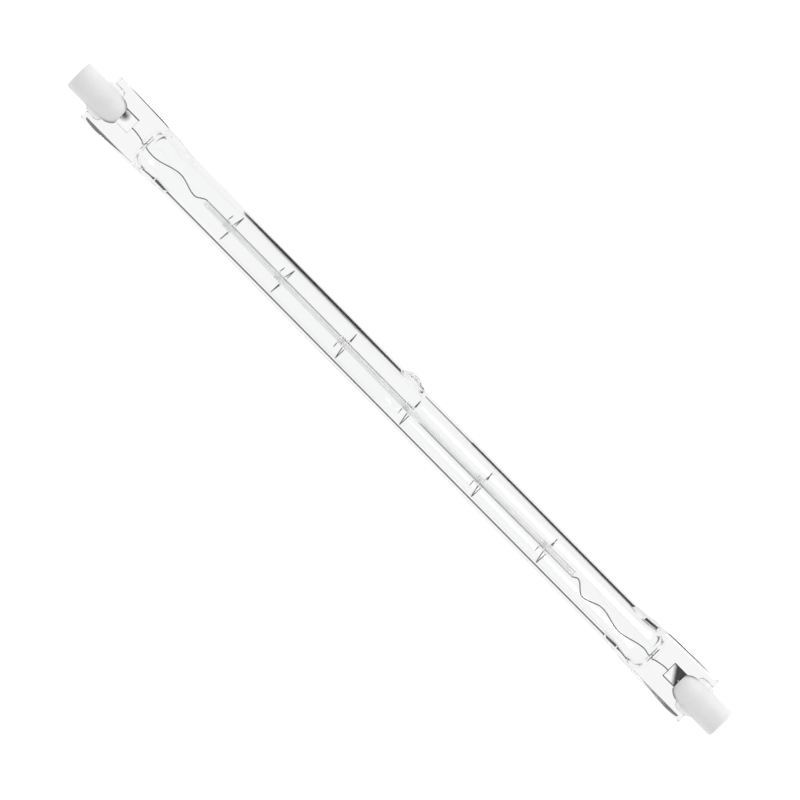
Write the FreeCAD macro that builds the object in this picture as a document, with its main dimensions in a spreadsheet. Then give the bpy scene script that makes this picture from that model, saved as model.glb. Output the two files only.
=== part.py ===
# Double-ended linear halogen bulb: a quartz tube with pressed ends, a coiled filament on six spiral
# supports, and a ceramic cap with a recessed contact at each end.
# Frame: X along the lamp, Y across the flat seals (towards the exhaust tip), Z up, origin at the middle.
# Lengths are in millimetres.
import FreeCAD, Part
import math
import os
import Sketcher

V = FreeCAD.Vector
doc = FreeCAD.newDocument("linear_halogen_bulb")

# Driving sizes
driving_sizes = {
    "lamp_length": 189.1,
    "tube_diameter": 10.0,
    "tube_wall": 1.0,
    "end_length": 23.15,
    "shoulder_nose_radius": 3.6,
    "cavity_end_wall": 1.4,
    "cavity_end_chamfer": 1.9,
    "seal_thickness": 2.4,
    "seal_edge_chamfer": 0.7,
    "seal_root_inset": 0.3,
    "seal_root_depth": 3.4,
    "seal_neck_width": 11.3,
    "seal_neck_advance": 1.6,
    "seal_end_width": 12.2,
    "seal_setback": 6.55,
    "fork_width": 8.2,
    "fork_depth": 3.4,
    "fork_corner_radius": 1.0,
    "tip_station": -1.25,
    "tip_height": 1.1,
    "tip_top_diameter": 1.2,
    "tip_shoulder_diameter": 2.2,
    "tip_shoulder_drop": 0.45,
    "tip_root_diameter": 5.0,
    "tip_root_depth": 0.75,
    "cap_length": 12.55,
    "cap_diameter": 6.9,
    "cap_nose_flat": 4.7,
    "cap_rim_chamfer": 0.5,
    "recess_diameter": 4.0,
    "recess_depth": 1.7,
    "contact_diameter": 3.2,
    "contact_thickness": 0.8,
    "contact_edge": 0.15,
    "contact_clearance": 0.05,
    "cement_gap": 0.2,
    "cement_fillet": 0.9,
    "cement_cover": 0.9,
    "foil_width": 3.8,
    "foil_offset": 0.35,
    "foil_length": 4.8,
    "foil_thickness": 0.05,
    "foil_cover": 1.1,
    "outer_lead_diameter": 0.7,
    "outer_lead_weld": 2.0,
    "outer_lead_flat": 0.08,
    "lead_hole_clearance": 0.1,
    "filament_wire": 0.28,
    "coil_diameter": 1.43,
    "coil_length": 108.1,
    "coil_station": -3.05,
    "leg_weld": 1.0,
    "leg_root": 0.6,
    "leg_straight": 0.4,
    "support_wire": 0.24,
    "support_ring_diameter": 6.36,
    "support_grip_pitch": 0.62,
    "support_ring_pitch": 0.7,
    "support_grip_clearance": 0.02,
    "support_free_end": 2.2,
    "support_1_station": -49.4,
    "support_2_station": -34.3,
    "support_3_station": -15.6,
    "support_4_station": 3.5,
    "support_5_station": 24.5,
    "support_6_station": 43.6,
}

# Places and sizes worked out from the driving ones; a place is a distance from the lamp's middle along X
worked_out = {
    "tube_radius": "sizes.tube_diameter / 2",
    "bore_radius": "tube_radius - sizes.tube_wall",
    "cap_end": "sizes.lamp_length / 2",
    "straight_end": "cap_end - sizes.end_length",
    "shoulder_end": "straight_end + sizes.shoulder_nose_radius",
    "cavity_end": "shoulder_end - sizes.cavity_end_wall",
    "cavity_shoulder": "cavity_end - sizes.cavity_end_chamfer",
    "cavity_end_radius": "bore_radius - sizes.cavity_end_chamfer",
    "seal_half": "sizes.seal_thickness / 2",
    "seal_edge_half": "seal_half - sizes.seal_edge_chamfer",
    "seal_root": "straight_end - sizes.seal_root_depth",
    "seal_root_side": "tube_radius - sizes.seal_root_inset",
    "seal_root_flat": "seal_root_side - sizes.seal_edge_chamfer",
    "seal_neck": "straight_end + sizes.seal_neck_advance",
    "seal_neck_side": "sizes.seal_neck_width / 2",
    "seal_neck_flat": "seal_neck_side - sizes.seal_edge_chamfer",
    "seal_end": "cap_end - sizes.seal_setback",
    "seal_end_side": "sizes.seal_end_width / 2",
    "seal_end_flat": "seal_end_side - sizes.seal_edge_chamfer",
    "fork_root": "seal_end - sizes.fork_depth",
    "fork_side": "sizes.fork_width / 2",
    "tip_top": "tube_radius + sizes.tip_height",
    "tip_shoulder": "tip_top - sizes.tip_shoulder_drop",
    "tip_root": "tube_radius - sizes.tip_root_depth",
    "tip_top_radius": "sizes.tip_top_diameter / 2",
    "tip_shoulder_radius": "sizes.tip_shoulder_diameter / 2",
    "tip_root_radius": "sizes.tip_root_diameter / 2",
    "cap_nose": "cap_end - sizes.cap_length",
    "cap_radius": "sizes.cap_diameter / 2",
    "cap_rim": "cap_end - sizes.cap_rim_chamfer",
    "cap_rim_radius": "cap_radius - sizes.cap_rim_chamfer",
    "cap_nose_flat_radius": "sizes.cap_nose_flat / 2",
    "cap_nose_centre": "cap_nose + sqrt(cap_radius ^ 2 - cap_nose_flat_radius ^ 2)",
    "slot_root": "fork_root + sizes.cement_gap",
    "slot_side": "seal_half + sizes.cement_gap",
    "recess_floor": "cap_end - sizes.recess_depth",
    "recess_radius": "sizes.recess_diameter / 2",
    "contact_back": "recess_floor - sizes.contact_thickness",
    "contact_radius": "sizes.contact_diameter / 2",
    "contact_seat_radius": "contact_radius + sizes.contact_clearance",
    "contact_edge_start": "recess_floor - sizes.contact_edge",
    "contact_face_radius": "contact_radius - sizes.contact_edge",
    "cement_start": "cap_nose + sizes.cement_cover",
    "cement_end": "seal_end + sizes.cement_fillet",
    "cement_side": "cap_radius - sizes.cement_cover",
    "foil_end": "fork_root - sizes.foil_cover",
    "foil_start": "foil_end - sizes.foil_length",
    "outer_lead_radius": "sizes.outer_lead_diameter / 2",
    "outer_lead_start": "foil_end - sizes.outer_lead_weld",
    "outer_lead_drop": "sizes.foil_thickness / 2 + outer_lead_radius - sizes.outer_lead_flat",
    "coil_radius": "sizes.coil_diameter / 2",
    "coil_core_radius": "coil_radius - sizes.filament_wire",
    "coil_start": "sizes.coil_station - sizes.coil_length / 2",
    "coil_end": "sizes.coil_station + sizes.coil_length / 2",
}

# Waves of the filament's legs: share of the way from the coil to the foil, and height in Y
leg_waves_left = [(0.125, -0.62), (0.358, 0.46), (0.67, -1.0)]
leg_waves_right = [(0.04, 0.12), (0.163, -1.88), (0.333, -0.56), (0.537, -1.57), (0.769, -0.29)]
wave_roundness = 0.45  # share of the shorter run that a bend takes up
leg_wire_sides = 6
support_wire_sides = 3
spiral_sections = 16  # sections in one turn of a support
grip_turns = 2.25  # the first quarter brings the free end onto the coil
opening_turns = 0.5
ring_turns = 1.0
support_free_end_sides = [1, 1, -1, -1, -1, -1]  # which way the free end points in Y
same_place = 1e-6  # points closer than this are one


def fill_sheet(name, cells, prefix):
    # one row for each value: its name, then the value with that name as alias
    sheet = doc.addObject("Spreadsheet::Sheet", name)
    for row, (alias, content) in enumerate(cells.items(), start=1):
        sheet.set(f"A{row}", alias)
        sheet.set(f"B{row}", f"{prefix}{content}")
        sheet.setAlias(f"B{row}", alias)
    doc.recompute()
    return sheet


sizes_sheet = fill_sheet("sizes", driving_sizes, "")
places_sheet = fill_sheet("places", worked_out, "=")


def size(alias):
    return float(sizes_sheet.get(alias))


def place(alias):
    return float(places_sheet.get(alias))


# Sketching helpers
def new_sketch(body, name, role):
    sketch = body.newObject("Sketcher::SketchObject", name)
    plane = next(feature for feature in body.Origin.OriginFeatures if feature.Role == role)
    sketch.AttachmentSupport = [(plane, "")]
    sketch.MapMode = "FlatFace"
    return sketch


def hold(sketch, kind, *refs):
    return sketch.addConstraint(Sketcher.Constraint(kind, *refs))


def dimension(sketch, kind, refs, value, expression):
    # a driving constraint whose value follows the sheets
    number = hold(sketch, kind, *refs, value)
    sketch.setExpression(f"Constraints[{number}]", expression)


def tie_point(sketch, line, end, x_name, y_name):
    # holds one end of a line at named places; None lies on the axis, a leading minus is the far side
    for name, kind, axis in ((x_name, "DistanceX", -2), (y_name, "DistanceY", -1)):
        if name is None:
            hold(sketch, "PointOnObject", line, end, axis)
        elif name.startswith("-"):
            dimension(sketch, kind, (line, end, -1, 1), place(name[1:]), f"places.{name[1:]}")
        else:
            dimension(sketch, kind, (-1, 1, line, end), place(name), f"places.{name}")


def signed(name):
    if name is None:
        return 0.0
    return -place(name[1:]) if name.startswith("-") else place(name)


def draw_outline(sketch, corners, closed=True):
    # outline of straight lines, each corner held at named places; an open one leaves out the last line
    points = [V(signed(x), signed(y), 0) for x, y in corners]
    ends = points[1:] + points[:1] if closed else points[1:]
    for start, end in zip(points, ends):
        sketch.addGeometry(Part.LineSegment(start, end), False)
    last = len(ends) - 1
    for i, (x_name, y_name) in enumerate(corners):
        if i <= last:
            tie_point(sketch, i, 1, x_name, y_name)
        else:
            tie_point(sketch, last, 2, x_name, y_name)
        if closed or 0 < i <= last:
            hold(sketch, "Coincident", (i - 1) % len(ends), 2, i, 1)


def arc(centre, radius, start, end):
    return Part.ArcOfCircle(Part.Circle(centre, V(0, 0, 1), radius), start, end)


def draw_round_ended(sketch, radius_name, end_name, nose_name):
    # half section of a straight tube whose flat ends meet its side in a round shoulder
    radius, end, nose = place(radius_name), place(end_name), size(nose_name)
    straight, rise = end - nose, radius - nose
    sketch.addGeometry(
        [
            Part.LineSegment(V(-straight, radius, 0), V(straight, radius, 0)),
            arc(V(straight, rise, 0), nose, 0, math.pi / 2),
            Part.LineSegment(V(end, rise, 0), V(end, 0, 0)),
            Part.LineSegment(V(end, 0, 0), V(-end, 0, 0)),
            Part.LineSegment(V(-end, 0, 0), V(-end, rise, 0)),
            arc(V(-straight, rise, 0), nose, math.pi / 2, math.pi),
        ],
        False,
    )
    tube, right_nose, right_end, axis, left_end, left_nose = range(6)
    hold(sketch, "Tangent", tube, 2, right_nose, 2)
    hold(sketch, "Tangent", right_nose, 1, right_end, 1)
    hold(sketch, "Coincident", right_end, 2, axis, 1)
    hold(sketch, "Coincident", axis, 2, left_end, 1)
    hold(sketch, "Tangent", left_end, 2, left_nose, 2)
    hold(sketch, "Tangent", left_nose, 1, tube, 1)
    hold(sketch, "Vertical", right_end)
    hold(sketch, "Equal", right_nose, left_nose)
    hold(sketch, "Symmetric", tube, 1, tube, 2, -2)
    hold(sketch, "Symmetric", axis, 1, axis, 2, -1, 1)
    tie_point(sketch, axis, 1, end_name, None)
    dimension(sketch, "DistanceY", (-1, 1, tube, 2), radius, f"places.{radius_name}")
    dimension(sketch, "Radius", (right_nose,), nose, f"sizes.{nose_name}")


def draw_flat_section(sketch, station):
    # section across a seal at a named station: flat faces and chamfered edges
    side, flat = f"{station}_side", f"{station}_flat"
    draw_outline(
        sketch,
        [
            (side, "seal_edge_half"),
            (flat, "seal_half"),
            (f"-{flat}", "seal_half"),
            (f"-{side}", "seal_edge_half"),
            (f"-{side}", "-seal_edge_half"),
            (f"-{flat}", "-seal_half"),
            (flat, "-seal_half"),
            (side, "-seal_edge_half"),
        ],
    )


def draw_fork(sketch, side):
    # U-shaped notch in the end of a seal, open outwards, with rounded inner corners
    root, mouth, half = side * place("fork_root"), side * place("cap_end"), place("fork_side")
    corner = size("fork_corner_radius")
    inner = root + side * corner
    first = sketch.GeometryCount
    quarter = [math.pi, 1.5 * math.pi] if side > 0 else [1.5 * math.pi, 2 * math.pi]
    upper = [math.pi / 2, math.pi] if side > 0 else [0, math.pi / 2]
    sketch.addGeometry(
        [
            Part.LineSegment(V(mouth, -half, 0), V(inner, -half, 0)),
            arc(V(inner, corner - half, 0), corner, *quarter),
            Part.LineSegment(V(root, corner - half, 0), V(root, half - corner, 0)),
            arc(V(inner, half - corner, 0), corner, *upper),
            Part.LineSegment(V(inner, half, 0), V(mouth, half, 0)),
            Part.LineSegment(V(mouth, half, 0), V(mouth, -half, 0)),
        ],
        False,
    )
    low, low_corner, back, high_corner, high, mouth_line = range(first, first + 6)
    begin, finish = (2, 1) if side > 0 else (1, 2)
    hold(sketch, "Tangent", low, 2, low_corner, begin)
    hold(sketch, "Tangent", low_corner, finish, back, 1)
    hold(sketch, "Tangent", back, 2, high_corner, begin)
    hold(sketch, "Tangent", high_corner, finish, high, 1)
    hold(sketch, "Coincident", high, 2, mouth_line, 1)
    hold(sketch, "Coincident", mouth_line, 2, low, 1)
    hold(sketch, "Horizontal", low)
    hold(sketch, "Vertical", back)
    hold(sketch, "Horizontal", high)
    hold(sketch, "Symmetric", mouth_line, 1, mouth_line, 2, -1)
    hold(sketch, "Equal", low_corner, high_corner)
    dimension(sketch, "Radius", (low_corner,), corner, "sizes.fork_corner_radius")
    tie_point(sketch, high, 2, "cap_end" if side > 0 else "-cap_end", "fork_side")
    span = (-1, 1, back, 1) if side > 0 else (back, 1, -1, 1)
    dimension(sketch, "DistanceX", span, place("fork_root"), "places.fork_root")


# Quartz tube with its pressed ends and exhaust tip
def revolve(body, kind, name, sketch, axis):
    feature = body.newObject(f"PartDesign::{kind}", name)
    feature.Profile = sketch
    feature.ReferenceAxis = (sketch, [axis])
    feature.Angle = 360
    return feature


def pressed_end(body, side, end):
    # a loft of flat sections that grows out of the tube's shoulder and widens to the fork
    sign = "" if side > 0 else "-"
    sketches = []
    for station in ("seal_root", "seal_neck", "seal_end"):
        sketch = new_sketch(body, f"{station}_{end}_outline", "YZ_Plane")
        sketch.setExpression("AttachmentOffset.Base.z", f"{sign}places.{station}")
        draw_flat_section(sketch, station)
        sketches.append(sketch)
    loft = body.newObject("PartDesign::AdditiveLoft", f"seal_{end}")
    loft.Profile = sketches[0]
    loft.Sections = sketches[1:]
    loft.Ruled = True


def glass_body():
    body = doc.addObject("PartDesign::Body", "glass")
    outline = new_sketch(body, "tube_outline", "XY_Plane")
    draw_round_ended(outline, "tube_radius", "shoulder_end", "shoulder_nose_radius")
    revolve(body, "Revolution", "tube", outline, "H_Axis")
    tip = new_sketch(body, "tip_outline", "XY_Plane")
    tip.setExpression("AttachmentOffset.Base.x", "sizes.tip_station")
    draw_outline(
        tip,
        [
            (None, "tip_root"),
            ("tip_root_radius", "tip_root"),
            ("tip_shoulder_radius", "tip_shoulder"),
            ("tip_top_radius", "tip_top"),
            (None, "tip_top"),
        ],
    )
    revolve(body, "Revolution", "exhaust_tip", tip, "V_Axis")
    for side, end in ((-1, "left"), (1, "right")):
        pressed_end(body, side, end)
    fork = new_sketch(body, "fork_outline", "XY_Plane")
    for side in (-1, 1):
        draw_fork(fork, side)
    pocket = body.newObject("PartDesign::Pocket", "forks")
    pocket.Profile = fork
    pocket.Midplane = True
    pocket.setExpression("Length", "sizes.tube_diameter")
    cavity = new_sketch(body, "cavity_outline", "XY_Plane")
    draw_outline(
        cavity,
        [
            ("cavity_shoulder", "bore_radius"),
            ("cavity_end", "cavity_end_radius"),
            ("cavity_end", None),
            ("-cavity_end", None),
            ("-cavity_end", "cavity_end_radius"),
            ("-cavity_shoulder", "bore_radius"),
        ],
    )
    revolve(body, "Groove", "cavity", cavity, "H_Axis")
    doc.recompute()
    return body


# Wires, each a polygon section carried along a path
def section_face(centre, across, up, sides, circumradius, first_angle):
    corners = []
    for i in range(sides + 1):
        angle = first_angle + 2 * math.pi * i / sides
        spoke = across * math.cos(angle) + up * math.sin(angle)
        corners.append(centre + spoke * circumradius)
    return Part.Face(Part.makePolygon(corners))


def swept_wire(face, moves):
    # carries the section face through straight steps and turns about axes, and closes the skin it leaves
    skin = [face]
    for move in moves:
        moved = face.copy()
        if len(move) == 1:
            moved.translate(*move)
            piece = face.extrude(*move)
        else:
            moved.rotate(*move)
            piece = face.revolve(*move)
        ends = (face.CenterOfMass, moved.CenterOfMass)
        for side in piece.Faces:
            if min((side.CenterOfMass - end).Length for end in ends) > same_place:
                skin.append(side)
        face = moved
    skin.append(face)
    shell = Part.makeShell(skin)
    shell.sewShape()
    return Part.makeSolid(shell)


def level_route(points):
    # runs between points in one level plane, each corner rounded by an arc tangent to both runs
    moves = []
    position = points[0]
    for before, corner, after in zip(points, points[1:], points[2:]):
        run_in, run_out = corner - before, after - corner
        turn = run_in.getAngle(run_out)
        sign = 1 if run_in.cross(run_out).z > 0 else -1
        tangent = wave_roundness * min(run_in.Length, run_out.Length)
        radius = tangent / math.tan(turn / 2)
        bend_start = corner - run_in.normalize() * tangent
        moves.append((bend_start - position,))
        centre = bend_start + V(-run_in.y, run_in.x, 0) * (sign * radius)
        moves.append((centre, V(0, 0, sign), math.degrees(turn)))
        position = corner + run_out.normalize() * tangent
    moves.append((points[-1] - position,))
    return moves


def filament_leg(name, side, waves):
    # from inside the coil's last turn, along its waves, to the weld on the underside of the foil
    wire_radius = size("filament_wire") / 2
    drop = -(size("foil_thickness") / 2 + wire_radius * math.sin(math.pi / 3))
    turn_radius = place("coil_radius") - wire_radius
    joint_height = -side * math.sqrt(turn_radius**2 - drop**2)
    coil_edge = place("coil_end") if side > 0 else place("coil_start")
    foil_edge = side * place("foil_start")
    leave = coil_edge + side * size("leg_straight")
    points = [V(coil_edge - side * size("leg_root"), joint_height, drop), V(leave, joint_height, drop)]
    for share, height in waves:
        points.append(V(leave + share * (foil_edge - leave), height, drop))
    points.append(V(foil_edge, 0, drop))
    points.append(V(foil_edge + side * size("leg_weld"), 0, drop))
    start_face = section_face(points[0], V(0, 1, 0), V(0, 0, 1), leg_wire_sides, wire_radius, 0)
    leg = doc.addObject("Part::Feature", name)
    leg.Shape = swept_wire(start_face, level_route(points))
    return leg


def support_section(centre, outward):
    # a flat side of the three-sided section faces the coil, and its area is a round wire's
    step_angle = 2 * math.pi / support_wire_sides
    circumradius = size("support_wire") / 2 * math.sqrt(step_angle / math.sin(step_angle))
    return section_face(centre, V(1, 0, 0), outward, support_wire_sides, circumradius, math.pi / 2).OuterWire


def support_wire_shape():
    # free end, close turns on the coil, an opening half turn and one wide turn: a spiral whose radius
    # eases from the grip's to the ring's over the opening half turn, its wide turn set about the station
    wire_radius = size("support_wire") / 2
    grip = place("coil_radius") + size("support_grip_clearance") + wire_radius
    ring = size("support_ring_diameter") / 2 - wire_radius
    grip_pitch, ring_pitch = size("support_grip_pitch"), size("support_ring_pitch")
    x = -(grip_turns + opening_turns) * grip_pitch - ring_turns * ring_pitch / 2
    wires = [support_section(V(x, size("support_free_end"), grip), V(0, 0, 1))]
    steps = round((grip_turns + opening_turns + ring_turns) * spiral_sections)
    for i in range(steps + 1):
        turns = i / spiral_sections
        opened = min(max((turns - grip_turns) / opening_turns, 0), 1)
        radius = grip + (ring - grip) * (1 - math.cos(math.pi * opened)) / 2
        outward = V(0, -math.sin(2 * math.pi * turns), math.cos(2 * math.pi * turns))
        wires.append(support_section(V(x, 0, 0) + outward * radius, outward))
        x += (ring_pitch if opened == 1 else grip_pitch) / spiral_sections
    return Part.makeLoft(wires, True, True)


def turned_round(thing, side):
    # the left end's pieces are the right end's, turned half round about Z
    if side < 0:
        thing.Placement = FreeCAD.Placement(V(0, 0, 0), FreeCAD.Rotation(V(0, 0, 1), 180))


# Ceramic cap: a round-nosed cylinder with a slot for the seal, a contact recess and a lead hole
def ceramic_cap(end, side):
    body = doc.addObject("PartDesign::Body", f"cap_{end}")
    outline = new_sketch(body, f"cap_{end}_outline", "XY_Plane")
    corners = [
        ("cap_nose_centre", "cap_radius"),
        ("cap_rim", "cap_radius"),
        ("cap_end", "cap_rim_radius"),
        ("cap_end", "recess_radius"),
        ("recess_floor", "recess_radius"),
        ("recess_floor", "contact_seat_radius"),
        ("contact_back", "contact_seat_radius"),
        ("contact_back", None),
        ("cap_nose", None),
        ("cap_nose", "cap_nose_flat_radius"),
    ]
    draw_outline(outline, corners, closed=False)
    centre, radius = V(place("cap_nose_centre"), 0, 0), place("cap_radius")
    flat_edge = math.pi - math.asin(place("cap_nose_flat_radius") / radius)
    nose = outline.addGeometry(arc(centre, radius, math.pi / 2, flat_edge), False)
    hold(outline, "Coincident", nose, 1, 0, 1)
    hold(outline, "Coincident", nose, 2, nose - 1, 2)
    hold(outline, "PointOnObject", nose, 3, -1)
    revolve(body, "Revolution", f"cap_{end}_blank", outline, "H_Axis")
    slot = new_sketch(body, f"cap_{end}_slot_outline", "XZ_Plane")
    draw_outline(
        slot,
        [
            (None, "-slot_side"),
            ("slot_root", "-slot_side"),
            ("slot_root", "slot_side"),
            (None, "slot_side"),
        ],
    )
    pocket = body.newObject("PartDesign::Pocket", f"cap_{end}_slot")
    pocket.Profile = slot
    pocket.Midplane = True
    pocket.setExpression("Length", "2 * sizes.cap_diameter")
    hole = new_sketch(body, f"cap_{end}_hole_outline", "YZ_Plane")
    hole.setExpression("AttachmentOffset.Base.z", "places.cap_end")
    drop = place("outer_lead_drop")
    hole_radius = place("outer_lead_radius") + size("lead_hole_clearance")
    hole.addGeometry(Part.Circle(V(0, -drop, 0), V(0, 0, 1), hole_radius), False)
    hold(hole, "PointOnObject", 0, 3, -2)
    dimension(hole, "DistanceY", (0, 3, -1, 1), drop, "places.outer_lead_drop")
    dimension(
        hole, "Radius", (0,), hole_radius, "places.outer_lead_radius + sizes.lead_hole_clearance"
    )
    bore = body.newObject("PartDesign::Pocket", f"cap_{end}_hole")
    bore.Profile = hole
    bore.Type = "Length"
    bore.setExpression("Length", "sizes.cap_length")
    doc.recompute()
    turned_round(body, side)
    return body


# Contact button in the bottom of the recess, with a broken edge
def contact_button(end, side):
    body = doc.addObject("PartDesign::Body", f"contact_{end}")
    outline = new_sketch(body, f"contact_{end}_outline", "XY_Plane")
    draw_outline(
        outline,
        [
            ("contact_back", None),
            ("contact_back", "contact_radius"),
            ("contact_edge_start", "contact_radius"),
            ("recess_floor", "contact_face_radius"),
            ("recess_floor", None),
        ],
    )
    revolve(body, "Revolution", f"contact_{end}_button", outline, "H_Axis")
    doc.recompute()
    turned_round(body, side)
    return body


# Molybdenum foil sealed in the middle of the flat seal
def seal_foil(end, side):
    foil = doc.addObject("Part::Box", f"foil_{end}")
    foil.setExpression("Length", "sizes.foil_length")
    foil.setExpression("Width", "sizes.foil_width")
    foil.setExpression("Height", "sizes.foil_thickness")
    start = "places.foil_start" if side > 0 else "-places.foil_end"
    foil.setExpression("Placement.Base.x", start)
    foil.setExpression("Placement.Base.y", "sizes.foil_offset - sizes.foil_width / 2")
    foil.setExpression("Placement.Base.z", "-sizes.foil_thickness / 2")
    return foil


# Outer lead: a straight wire with a flat where it is welded to the underside of the foil
def outer_lead(end, side, foil):
    wire = doc.addObject("Part::Cylinder", f"outer_lead_{end}_wire")
    wire.Placement = FreeCAD.Placement(V(0, 0, 0), FreeCAD.Rotation(V(0, 1, 0), 90))
    wire.setExpression("Radius", "places.outer_lead_radius")
    wire.setExpression("Height", "places.contact_back - places.outer_lead_start")
    start = "places.outer_lead_start" if side > 0 else "-places.contact_back"
    wire.setExpression("Placement.Base.x", start)
    wire.setExpression("Placement.Base.z", "-places.outer_lead_drop")
    lead = doc.addObject("Part::Cut", f"outer_lead_{end}")
    lead.Base = wire
    lead.Tool = foil
    return lead


# Cement: fills the fork around the cap, with a sloped fillet at its mouth, and the slot around the seal
def cap_cement(end, side, lead, glass):
    body = doc.addObject("PartDesign::Body", f"cement_{end}_fill")
    outline = new_sketch(body, f"cement_{end}_outline", "XY_Plane")
    draw_outline(
        outline,
        [
            ("fork_root", "-fork_side"),
            ("seal_end", "-fork_side"),
            ("cement_end", "-cap_radius"),
            ("cement_end", "cap_radius"),
            ("seal_end", "fork_side"),
            ("fork_root", "fork_side"),
        ],
    )
    fill = body.newObject("PartDesign::Pad", f"cement_{end}_fork_fill")
    fill.Profile = outline
    fill.Midplane = True
    fill.setExpression("Length", "sizes.seal_thickness")
    slot_outline = new_sketch(body, f"cement_{end}_slot_outline", "XY_Plane")
    draw_outline(
        slot_outline,
        [
            ("cement_start", "-cement_side"),
            ("slot_root", "-cement_side"),
            ("slot_root", "cement_side"),
            ("cement_start", "cement_side"),
        ],
    )
    slot_fill = body.newObject("PartDesign::Pad", f"cement_{end}_slot_fill")
    slot_fill.Profile = slot_outline
    slot_fill.Midplane = True
    slot_fill.setExpression("Length", "2 * places.slot_side")
    doc.recompute()
    turned_round(body, side)
    cap_outside = doc.addObject("Part::Cylinder", f"cement_{end}_cap_outside")
    cap_outside.Placement = FreeCAD.Placement(V(0, 0, 0), FreeCAD.Rotation(V(0, 1, 0), 90))
    cap_outside.setExpression("Radius", "places.cap_radius")
    cap_outside.setExpression("Height", "places.cap_end - places.slot_root")
    cap_outside.setExpression("Placement.Base.x", "places.slot_root" if side > 0 else "-places.cap_end")
    inner = doc.addObject("Part::MultiFuse", f"cement_{end}_core")
    inner.Shapes = [cap_outside, lead]
    around_cap = doc.addObject("Part::Cut", f"cement_{end}_around_cap")
    around_cap.Base = body
    around_cap.Tool = inner
    cement = doc.addObject("Part::Cut", f"cement_{end}")
    cement.Base = around_cap
    cement.Tool = glass
    return cement


# Filament: a sleeve with the coil's outside and core, and the wire's two waved legs
def filament_wire(legs):
    turns = doc.addObject("Part::Cylinder", "coil_outside")
    core = doc.addObject("Part::Cylinder", "coil_core")
    for cylinder, radius in ((turns, "coil_radius"), (core, "coil_core_radius")):
        cylinder.Placement = FreeCAD.Placement(V(0, 0, 0), FreeCAD.Rotation(V(0, 1, 0), 90))
        cylinder.setExpression("Radius", f"places.{radius}")
        cylinder.setExpression("Height", "sizes.coil_length")
        cylinder.setExpression("Placement.Base.x", "places.coil_start")
    sleeve = doc.addObject("Part::Cut", "coil_sleeve")
    sleeve.Base = turns
    sleeve.Tool = core
    filament = doc.addObject("Part::MultiFuse", "filament")
    filament.Shapes = [sleeve] + legs
    return filament


# Assembly
ends = (("left", -1), ("right", 1))
glass = glass_body()
foils = [seal_foil(end, side) for end, side in ends]
leads = [outer_lead(end, side, foil) for (end, side), foil in zip(ends, foils)]
legs = [
    filament_leg("filament_leg_left", -1, leg_waves_left),
    filament_leg("filament_leg_right", 1, leg_waves_right),
]
sealed_in = doc.addObject("Part::MultiFuse", "sealed_in")
sealed_in.Shapes = foils + leads + legs
envelope = doc.addObject("Part::Cut", "quartz_envelope")
envelope.Base = glass
envelope.Tool = sealed_in
filament = filament_wire(legs)
caps = [ceramic_cap(end, side) for end, side in ends]
contacts = [contact_button(end, side) for end, side in ends]
cements = [cap_cement(end, side, lead, glass) for (end, side), lead in zip(ends, leads)]
supports = []
support_shape = support_wire_shape()
for number, free_end_side in enumerate(support_free_end_sides, start=1):
    support = doc.addObject("Part::Feature", f"filament_support_{number}")
    support.Shape = support_shape.copy()
    half_turn = 0 if free_end_side > 0 else 180
    spot = V(size(f"support_{number}_station"), 0, 0)
    support.Placement = FreeCAD.Placement(spot, FreeCAD.Rotation(V(1, 0, 0), half_turn))
    supports.append(support)
doc.recompute()

# Every object is sound before anything is written
for thing in doc.Objects:
    if "Invalid" in thing.State or "Error" in thing.State:
        raise RuntimeError(f"{thing.Label} failed: {thing.State}")
sub_parts = [envelope, filament] + supports + foils + leads + caps + contacts + cements
for part in sub_parts:
    if part.Shape.isNull() or not part.Shape.isValid():
        raise RuntimeError(f"{part.Label} has no sound shape")
os.makedirs("parts", exist_ok=True)
for part in sub_parts:
    part.Shape.exportStep(f"parts/{part.Label}.step")
    print(part.Label, len(part.Shape.Solids), "solid", round(part.Shape.Volume, 3), "mm3")
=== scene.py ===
import bpy
import numpy as np
from mathutils import Matrix, Vector
from mathutils.geometry import tessellate_polygon


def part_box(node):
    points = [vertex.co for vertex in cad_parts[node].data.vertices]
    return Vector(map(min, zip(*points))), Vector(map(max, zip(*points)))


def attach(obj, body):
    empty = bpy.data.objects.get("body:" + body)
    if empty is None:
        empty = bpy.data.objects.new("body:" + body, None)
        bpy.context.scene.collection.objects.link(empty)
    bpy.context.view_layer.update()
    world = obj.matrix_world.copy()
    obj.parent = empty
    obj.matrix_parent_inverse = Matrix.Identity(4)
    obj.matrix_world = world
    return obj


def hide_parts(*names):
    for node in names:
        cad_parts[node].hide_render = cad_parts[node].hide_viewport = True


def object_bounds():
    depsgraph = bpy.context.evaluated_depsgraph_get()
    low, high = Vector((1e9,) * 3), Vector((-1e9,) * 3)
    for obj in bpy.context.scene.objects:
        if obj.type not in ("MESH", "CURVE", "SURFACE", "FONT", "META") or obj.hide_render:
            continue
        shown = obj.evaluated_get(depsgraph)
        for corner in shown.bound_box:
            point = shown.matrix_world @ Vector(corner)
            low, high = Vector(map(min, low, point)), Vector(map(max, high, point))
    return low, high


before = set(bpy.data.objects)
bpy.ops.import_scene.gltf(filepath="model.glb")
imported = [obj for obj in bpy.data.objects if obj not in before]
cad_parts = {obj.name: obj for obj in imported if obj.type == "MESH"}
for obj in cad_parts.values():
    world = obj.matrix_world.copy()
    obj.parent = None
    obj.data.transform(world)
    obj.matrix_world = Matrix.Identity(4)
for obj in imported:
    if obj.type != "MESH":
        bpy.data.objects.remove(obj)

cadBox = [list(corner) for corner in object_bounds()]
mm = 0.001
print("frame loaded:", len(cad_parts), "nodes")


def span(node):  # lowest and highest corner of a node, in millimetres
    low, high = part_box(node)
    return np.array(low) / mm, np.array(high) / mm


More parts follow.
